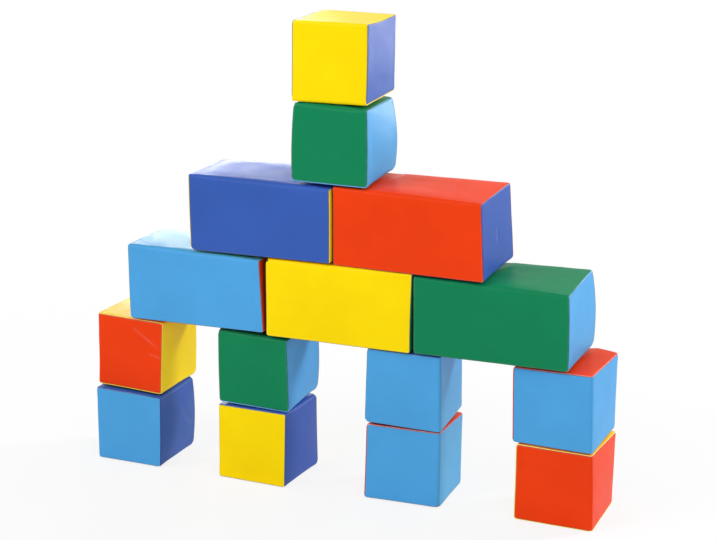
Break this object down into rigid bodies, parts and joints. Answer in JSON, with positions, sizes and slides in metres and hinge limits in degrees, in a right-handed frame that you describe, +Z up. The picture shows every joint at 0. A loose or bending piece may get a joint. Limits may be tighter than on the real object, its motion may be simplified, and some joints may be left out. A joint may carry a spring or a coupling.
{
  "type": "giant building block set",
  "caption": "Wall of giant soft building blocks: foam cubes and bricks in sewn two-colour zipped covers, stacked as arches with a tower, each block drawn out or lifted off.",
  "frame": {"origin": "on the floor, in the middle of the box round the wall's footprint", "axes": "+X along the wall to the right as seen from its front, +Y from the front to the back, +Z up"},
  "size_m": [1.3566, 0.2264, 1.2014],
  "materials": {
    "yellow_vinyl": "satin coated cloth",
    "red_vinyl": "satin coated cloth",
    "green_vinyl": "satin coated cloth",
    "blue_vinyl": "satin coated cloth",
    "sky_vinyl": "satin coated cloth",
    "foam": "open-cell foam",
    "zip_metal": "nickel plated"
  },
  "bodies": {
    "foot_cube_1": {"foot_cube_1_foam": "foam", "foot_cube_1_sky_strip": "sky_vinyl", "foot_cube_1_blue_strip": "blue_vinyl"},
    "foot_cube_1_slider": {"foot_cube_1_zip_slider": "zip_metal"},
    "foot_cube_2": {"foot_cube_2_foam": "foam", "foot_cube_2_yellow_strip": "yellow_vinyl", "foot_cube_2_blue_strip": "blue_vinyl"},
    "foot_cube_2_slider": {"foot_cube_2_zip_slider": "zip_metal"},
    "foot_cube_3": {"foot_cube_3_foam": "foam", "foot_cube_3_sky_strip": "sky_vinyl", "foot_cube_3_red_strip": "red_vinyl"},
    "foot_cube_3_slider": {"foot_cube_3_zip_slider": "zip_metal"},
    "foot_cube_4": {"foot_cube_4_foam": "foam", "foot_cube_4_red_strip": "red_vinyl", "foot_cube_4_yellow_strip": "yellow_vinyl"},
    "foot_cube_4_slider": {"foot_cube_4_zip_slider": "zip_metal"},
    "leg_cube_1": {"leg_cube_1_foam": "foam", "leg_cube_1_red_strip": "red_vinyl", "leg_cube_1_yellow_strip": "yellow_vinyl"},
    "leg_cube_1_slider": {"leg_cube_1_zip_slider": "zip_metal"},
    "leg_cube_2": {"leg_cube_2_foam": "foam", "leg_cube_2_green_strip": "green_vinyl", "leg_cube_2_sky_strip": "sky_vinyl"},
    "leg_cube_2_slider": {"leg_cube_2_zip_slider": "zip_metal"},
    "leg_cube_3": {"leg_cube_3_foam": "foam", "leg_cube_3_sky_strip": "sky_vinyl", "leg_cube_3_blue_strip": "blue_vinyl"},
    "leg_cube_3_slider": {"leg_cube_3_zip_slider": "zip_metal"},
    "leg_cube_4": {"leg_cube_4_foam": "foam", "leg_cube_4_sky_strip": "sky_vinyl", "leg_cube_4_red_strip": "red_vinyl"},
    "leg_cube_4_slider": {"leg_cube_4_zip_slider": "zip_metal"},
    "low_brick_1": {"low_brick_1_foam": "foam", "low_brick_1_sky_strip": "sky_vinyl", "low_brick_1_red_strip": "red_vinyl"},
    "low_brick_1_slider": {"low_brick_1_zip_slider": "zip_metal"},
    "low_brick_2": {"low_brick_2_foam": "foam", "low_brick_2_yellow_strip": "yellow_vinyl", "low_brick_2_green_strip": "green_vinyl"},
    "low_brick_2_slider": {"low_brick_2_zip_slider": "zip_metal"},
    "low_brick_3": {"low_brick_3_foam": "foam", "low_brick_3_green_strip": "green_vinyl", "low_brick_3_sky_strip": "sky_vinyl"},
    "low_brick_3_slider": {"low_brick_3_zip_slider": "zip_metal"},
    "high_brick_1": {"high_brick_1_foam": "foam", "high_brick_1_blue_strip": "blue_vinyl", "high_brick_1_yellow_strip": "yellow_vinyl"},
    "high_brick_1_slider": {"high_brick_1_zip_slider": "zip_metal"},
    "high_brick_2": {"high_brick_2_foam": "foam", "high_brick_2_red_strip": "red_vinyl", "high_brick_2_blue_strip": "blue_vinyl"},
    "high_brick_2_slider": {"high_brick_2_zip_slider": "zip_metal"},
    "tower_cube": {"tower_cube_foam": "foam", "tower_cube_green_strip": "green_vinyl", "tower_cube_sky_strip": "sky_vinyl"},
    "tower_cube_slider": {"tower_cube_zip_slider": "zip_metal"},
    "top_cube": {"top_cube_foam": "foam", "top_cube_blue_strip": "blue_vinyl", "top_cube_yellow_strip": "yellow_vinyl"},
    "top_cube_slider": {"top_cube_zip_slider": "zip_metal"}
  },
  "joints": [
    {"name": "foot_cube_1_draw_out", "type": "slide", "parent": "foot_cube_2", "child": "foot_cube_1", "axis": [0, -1, 0], "range_m": [0, 0.26]},
    {"name": "foot_cube_3_draw_out", "type": "slide", "parent": "foot_cube_2", "child": "foot_cube_3", "axis": [0, -1, 0], "range_m": [0, 0.26]},
    {"name": "foot_cube_4_draw_out", "type": "slide", "parent": "foot_cube_2", "child": "foot_cube_4", "axis": [0, -1, 0], "range_m": [0, 0.26]},
    {"name": "leg_cube_1_draw_out", "type": "slide", "parent": "foot_cube_2", "child": "leg_cube_1", "axis": [0, -1, 0], "range_m": [0, 0.26]},
    {"name": "leg_cube_2_draw_out", "type": "slide", "parent": "foot_cube_2", "child": "leg_cube_2", "axis": [0, -1, 0], "range_m": [0, 0.26]},
    {"name": "leg_cube_3_draw_out", "type": "slide", "parent": "foot_cube_2", "child": "leg_cube_3", "axis": [0, -1, 0], "range_m": [0, 0.26]},
    {"name": "leg_cube_4_draw_out", "type": "slide", "parent": "foot_cube_2", "child": "leg_cube_4", "axis": [0, -1, 0], "range_m": [0, 0.26]},
    {"name": "low_brick_1_draw_out", "type": "slide", "parent": "foot_cube_2", "child": "low_brick_1", "axis": [0, -1, 0], "range_m": [0, 0.26]},
    {"name": "low_brick_2_draw_out", "type": "slide", "parent": "foot_cube_2", "child": "low_brick_2", "axis": [0, -1, 0], "range_m": [0, 0.26]},
    {"name": "low_brick_3_draw_out", "type": "slide", "parent": "foot_cube_2", "child": "low_brick_3", "axis": [0, -1, 0], "range_m": [0, 0.26]},
    {"name": "high_brick_1_draw_out", "type": "slide", "parent": "foot_cube_2", "child": "high_brick_1", "axis": [0, -1, 0], "range_m": [0, 0.26]},
    {"name": "high_brick_2_draw_out", "type": "slide", "parent": "foot_cube_2", "child": "high_brick_2", "axis": [0, -1, 0], "range_m": [0, 0.26]},
    {"name": "tower_cube_lift", "type": "slide", "parent": "foot_cube_2", "child": "tower_cube", "axis": [0, 0, 1], "range_m": [0, 0.25]},
    {"name": "top_cube_lift", "type": "slide", "parent": "tower_cube", "child": "top_cube", "axis": [0, 0, 1], "range_m": [0, 0.25]},
    {"name": "foot_cube_1_zip", "type": "slide", "parent": "foot_cube_1", "child": "foot_cube_1_slider", "axis": [0, 0, 1], "range_m": [0, 0.1493]},
    {"name": "foot_cube_2_zip", "type": "slide", "parent": "foot_cube_2", "child": "foot_cube_2_slider", "axis": [0, 0, 1], "range_m": [0, 0.1493]},
    {"name": "foot_cube_3_zip", "type": "slide", "parent": "foot_cube_3", "child": "foot_cube_3_slider", "axis": [0, 0, -1], "range_m": [0, 0.1493]},
    {"name": "foot_cube_4_zip", "type": "slide", "parent": "foot_cube_4", "child": "foot_cube_4_slider", "axis": [0, 0, -1], "range_m": [0, 0.1493]},
    {"name": "leg_cube_1_zip", "type": "slide", "parent": "leg_cube_1", "child": "leg_cube_1_slider", "axis": [0, 0, 1], "range_m": [0, 0.1493]},
    {"name": "leg_cube_2_zip", "type": "slide", "parent": "leg_cube_2", "child": "leg_cube_2_slider", "axis": [1, -0.0052, 0], "range_m": [0, 0.1493]},
    {"name": "leg_cube_3_zip", "type": "slide", "parent": "leg_cube_3", "child": "leg_cube_3_slider", "axis": [0, 0, -1], "range_m": [0, 0.1493]},
    {"name": "leg_cube_4_zip", "type": "slide", "parent": "leg_cube_4", "child": "leg_cube_4_slider", "axis": [0, 0, -1], "range_m": [0, 0.1493]},
    {"name": "low_brick_1_zip", "type": "slide", "parent": "low_brick_1", "child": "low_brick_1_slider", "axis": [0.9998, -0.0209, 0], "range_m": [0, 0.3393]},
    {"name": "low_brick_2_zip", "type": "slide", "parent": "low_brick_2", "child": "low_brick_2_slider", "axis": [1, 0, 0], "range_m": [0, 0.3393]},
    {"name": "low_brick_3_zip", "type": "slide", "parent": "low_brick_3", "child": "low_brick_3_slider", "axis": [1, 0.0087, 0], "range_m": [0, 0.3393]},
    {"name": "high_brick_1_zip", "type": "slide", "parent": "high_brick_1", "child": "high_brick_1_slider", "axis": [1, -0.0087, 0], "range_m": [0, 0.3393]},
    {"name": "high_brick_2_zip", "type": "slide", "parent": "high_brick_2", "child": "high_brick_2_slider", "axis": [0.9997, -0.0262, 0], "range_m": [0, 0.3393]},
    {"name": "tower_cube_zip", "type": "slide", "parent": "tower_cube", "child": "tower_cube_slider", "axis": [0.9999, 0.0157, 0], "range_m": [0, 0.1493]},
    {"name": "top_cube_zip", "type": "slide", "parent": "top_cube", "child": "top_cube_slider", "axis": [0, 0, -1], "range_m": [0, 0.1493]}
  ]
}
